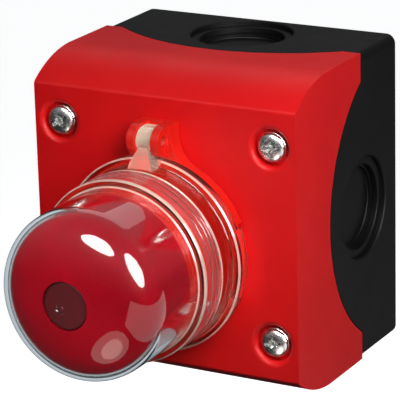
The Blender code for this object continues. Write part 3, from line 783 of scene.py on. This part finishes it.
def make_head():
    """The mushroom head: a dome with a recess for the insert, and hollow behind round its boss."""
    recess = INSERT.radius + GAP
    radius = HEAD.radius
    front = [(0, INSERT.back - 0.3), (recess - 0.1, INSERT.back - 0.3), (recess, INSERT.back - 0.1)]
    dome = crown(radius, HEAD_RIM, HEAD.front - HEAD_RIM + 0.45, recess)
    lip = [(recess + 0.02, dome[0][1] - 0.25)]
    skirt = [(radius, HEAD.back + 0.5), (radius - 0.15, HEAD.back + 0.15), (radius - 0.5, HEAD.back)]
    bell = [(radius - 2.0, HEAD.back), (radius - 2.2, HEAD.back + 0.2)]
    bell += [(radius - 2.2, BELL_ROOF - 0.9), (radius - 3.1, BELL_ROOF), (BOSS_RADIUS + 0.9, BELL_ROOF)]
    boss = [(BOSS_RADIUS, BELL_ROOF - 0.9), (BOSS_RADIUS, BOSS_BACK + 0.3)]
    boss += [(BOSS_RADIUS - 0.3, BOSS_BACK), (0, BOSS_BACK)]
    profile = front + lip + dome + skirt + bell + boss
    head = turned("head", profile, steps=160)
    return show(head, "head", head_red_and_shade, "red_gloss", "mushroom_head")


def make_insert():
    radius = INSERT.radius
    rounding = 0.35
    edge = arc(radius - rounding, INSERT.front - rounding, rounding, 90, 0, 5)
    front = [(0, INSERT.front), (radius - 1.2, INSERT.front)] + edge
    insert = turned("insert", front + [(radius, INSERT.back), (0, INSERT.back)])
    return show(insert, "head", insert_red, "dark_red", "head_insert")


def make_actuator_body():
    """The collar and threaded tube, with ribs on the collar."""
    radius, valley = COLLAR_RADIUS, COLLAR_RADIUS - 0.45
    collar = [(COLLAR_BORE, COLLAR_FRONT), (radius - 0.3, COLLAR_FRONT), (radius, COLLAR_FRONT - 0.3)]
    for rib in range(5):
        top = COLLAR_FRONT - 0.8 - rib * 2.2
        collar += [(radius, top), (radius, top - 1.2), (valley, top - 1.4), (valley, top - 2.0)]
    foot = [(radius, 64.2), (radius + 1.4, 63.7), (radius + 1.7, 63.4)]
    foot += [(radius + 1.7, CAP_MOUTH), (TUBE_RADIUS, CAP_MOUTH)]
    thread = []
    for turn in range(15):
        top = 59.6 - turn
        thread += [(TUBE_RADIUS, top), (TUBE_RADIUS - 0.45, top - 0.5)]
    floor = [(TUBE_RADIUS - 0.3, 44), (4.3, 44), (4.3, 46), (COLLAR_BORE, 46)]
    grooves = []
    for low, high, depth in ((69.2, 71, 1.1), (73, 74.8, 1.0)):
        wide = COLLAR_BORE + depth
        grooves += [(COLLAR_BORE, low), (wide, low), (wide, high), (COLLAR_BORE, high)]
    profile = collar[:-2] + foot + thread + floor + grooves
    body = turned("collar", profile)
    return show(body, "enclosure", bracket_red, "red_plastic", "actuator_body")


def make_spring(name, node_name, body, turns, radius, wire):
    """A round-wire compression spring, wound between the back and front of its CAD node."""
    spot = Span(node_name)
    points_per_turn = 24
    count = round(turns * points_per_turn)
    low, high = spot.back, spot.front
    curve = bpy.data.curves.new(name, "CURVE")
    curve.dimensions = "3D"
    curve.bevel_depth = wire * MM
    curve.bevel_resolution = 3
    curve.use_fill_caps = True
    spline = curve.splines.new("POLY")
    spline.points.add(count)
    for i, point in enumerate(spline.points):
        share = i / count
        eased = share - math.sin(2 * math.pi * share) / (2 * math.pi) * 0.6
        angle = 2 * math.pi * i / points_per_turn
        height = low + wire + (high - low - 2 * wire) * eased
        across = spot_x(node_name) + radius * math.cos(angle)
        point.co = (across * MM, -height * MM, (AXIS_Z + radius * math.sin(angle)) * MM, 1)
    spring = show(place(name, curve), body, spring_steel, "steel", node_name)
    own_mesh(spring)
    return spring


def spot_x(node_name):
    """The x of a spring's axis. The return spring is central, and a contact spring is on its plunger."""
    if node_name == "return_spring":
        return 0.0
    return Span(node_name.replace("spring", "plunger")).x


def finish_cad_nodes():
    """Gives a procedural finish to the CAD nodes that are kept as they are."""
    finishes = {
        inner_black: ["push_stem", "lock_nut", "pusher_plate", "contact_carrier"],
        seal_rubber: ["cover_gasket", "bracket_seal", "stem_seal"],
        spring_steel: ["thrust_washer", "latch_ring", "retaining_clip"],
        screw_zinc: ["guard_pin"],
        housing_grey: [],
        bracket_red: [],
        contact_brass: [],
    }
    for letter in "ab":
        finishes[housing_grey].append(f"contact_housing_{letter}")
        finishes[bracket_red].append(f"contact_plunger_{letter}")
        finishes[contact_brass].append(f"contact_bridge_{letter}")
        for number in (1, 2):
            finishes[contact_brass].append(f"fixed_contact_{letter}{number}")
            finishes[screw_zinc].append(f"terminal_screw_{letter}{number}")
    for material, names in finishes.items():
        for name in names:
            for slot in frame["nodes"][name].material_slots:
                slot.material = material


# ---------------------------------------------------------------- studio


def make_stage():
    """A bright floor that the camera sees. It is hidden from gloss, glass and bounced light."""
    shape = bmesh.new()
    bmesh.ops.create_grid(shape, x_segments=1, y_segments=1, size=4.0)
    mesh = bpy.data.meshes.new("floor")
    shape.to_mesh(mesh)
    shape.free()
    floor = bpy.data.objects.new("floor", mesh)
    bpy.context.scene.collection.objects.link(floor)
    floor.location = (0, 0, -0.30)
    material, tree, shader, spot = start_material("floor_white", Roughness=0.9, Specular_IOR_Level=0.1)
    tone = spread(tree, noise(tree, spot, 3.0), 0.0, 1.0)
    white = blend_colours(tree, tone, (0.93, 0.93, 0.93), (0.95, 0.95, 0.95))
    tree.links.new(white, shader.inputs["Base Color"])
    shader.inputs["Emission Color"].default_value = (1, 1, 1, 1)
    shader.inputs["Emission Strength"].default_value = 0.80
    mesh.materials.append(material)
    floor.visible_diffuse = False
    floor.visible_glossy = False
    floor.visible_transmission = False


def lamp(name, azimuth, elevation, distance, size, watts, colour=(1, 1, 1), spin=0.0, shape="ELLIPSE"):
    """An area light aimed at the dome. Azimuth 0 is straight in front, and 90 is to the right."""
    target = Vector((0, -90, AXIS_Z)) * MM
    a, e = math.radians(azimuth), math.radians(elevation)
    offset = Vector((math.sin(a) * math.cos(e), -math.cos(a) * math.cos(e), math.sin(e)))
    data = bpy.data.lights.new(name, "AREA")
    data.shape = shape
    data.size, data.size_y = size
    data.energy = watts
    data.color = colour
    light = bpy.data.objects.new(name, data)
    bpy.context.scene.collection.objects.link(light)
    spot = Matrix.Translation(target + offset * distance)
    aim = offset.to_track_quat("Z", "Y").to_matrix().to_4x4()
    light.matrix_world = spot @ aim @ Matrix.Rotation(math.radians(spin), 4, "Z")
    light.visible_camera = False
    return light


def reflection(name, azimuth, elevation, distance, size, radiance, **more):
    """A card of a given radiance that shows only in gloss."""
    area = size[0] * size[1]
    if more.get("shape") != "RECTANGLE":
        area *= math.pi / 4
    card = lamp(name, azimuth, elevation, distance, size, radiance * math.pi * area, **more)
    card.visible_diffuse = False
    card.visible_transmission = False
    return card


def make_world():
    """A dim room, brighter above than below."""
    world = bpy.data.worlds.new("studio")
    bpy.context.scene.world = world
    world.use_nodes = True
    tree = world.node_tree
    direction = node(tree, "ShaderNodeTexCoord").outputs["Generated"]
    up = node(tree, "ShaderNodeSeparateXYZ", {"Vector": direction}).outputs["Z"]
    inputs = {"Value": up, "From Min": -0.1, "From Max": 0.5, "To Min": 0.03, "To Max": 0.20}
    strength = node(tree, "ShaderNodeMapRange", inputs).outputs["Result"]
    background = tree.nodes["Background"]
    background.inputs["Color"].default_value = (0.92, 0.96, 1.0, 1)
    tree.links.new(strength, background.inputs["Strength"])


def make_lights():
    """Cards that show in the gloss, and lamps that light the object without showing in it."""
    reflection("strip_top", 5, 46, 0.75, (0.50, 0.33), 24, spin=-8)
    reflection("strip_right", 67, 27, 0.70, (0.42, 0.50), 24)
    reflection("low_card", 9, -50, 0.25, (0.09, 0.10), 2.6, colour=(1, 0.92, 0.8))
    reflection("low_glow", 9, -50, 0.26, (0.17, 0.17), 1.6, colour=(1, 0.9, 0.85))
    reflection("back_card", -165, 42, 0.70, (0.50, 0.22), 1.2, shape="RECTANGLE")
    reflection("side_card", 88, -32, 0.50, (1.40, 0.36), 1.3, shape="RECTANGLE")
    # Unlike the others, this card is seen only through clear plastic. It gives the dome its pale edge.
    rim_card = reflection("rim_card", -151, -18, 1.20, (2.20, 1.80), 0.7, colour=(0.82, 0.92, 1))
    rim_card.visible_glossy = False
    rim_card.visible_transmission = True
    for light in (
        lamp("key", 60, 39, 0.24, (0.16, 0.16), 0.62, (1, 0.88, 0.74)),
        lamp("front_fill", 5, 55, 0.60, (0.30, 0.30), 0.10, (1, 0.97, 0.95)),
        lamp("left_fill", -105, 10, 0.60, (0.40, 0.40), 0.80),
        lamp("back_fill", 170, 5, 0.80, (0.50, 0.50), 1.60),
    ):
        light.visible_glossy = False
        light.visible_transmission = False


def make_camera():
    """A long lens from in front, above and to the right, rolled a little."""
    data = bpy.data.cameras.new("camera")
    data.lens = 230.4
    data.sensor_width = 36
    camera = bpy.data.objects.new("camera", data)
    bpy.context.scene.collection.objects.link(camera)
    forward = Vector((-0.46484, 0.82990, -0.30852)).normalized()
    roll = math.radians(1.557)
    level_right = forward.cross(Vector((0, 0, 1))).normalized()
    level_down = forward.cross(level_right)
    right = math.cos(roll) * level_right + math.sin(roll) * level_down
    down = -math.sin(roll) * level_right + math.cos(roll) * level_down
    axes = Matrix((right, -down, -forward)).transposed().to_4x4()
    camera.matrix_world = Matrix.Translation((0.296666, -0.567771, 0.199726)) @ axes
    bpy.context.scene.camera = camera


make_base()
make_cover()
for screw_number in SCREWS:
    make_screw(screw_number)
make_bracket()
make_cap()
make_head()
make_insert()
make_actuator_body()
make_spring("return_coil", "return_spring", "enclosure", 4, 6.4, 0.6)
make_spring("contact_coil_a", "contact_spring_a", "enclosure", 3.5, 1.9, 0.3)
make_spring("contact_coil_b", "contact_spring_b", "enclosure", 3.5, 1.9, 0.3)
finish_cad_nodes()
for leftover in list(scratch.objects):
    bpy.data.objects.remove(leftover)
make_stage()
make_lights()
make_world()
make_camera()
bpy.context.scene.view_settings.view_transform = "Standard"
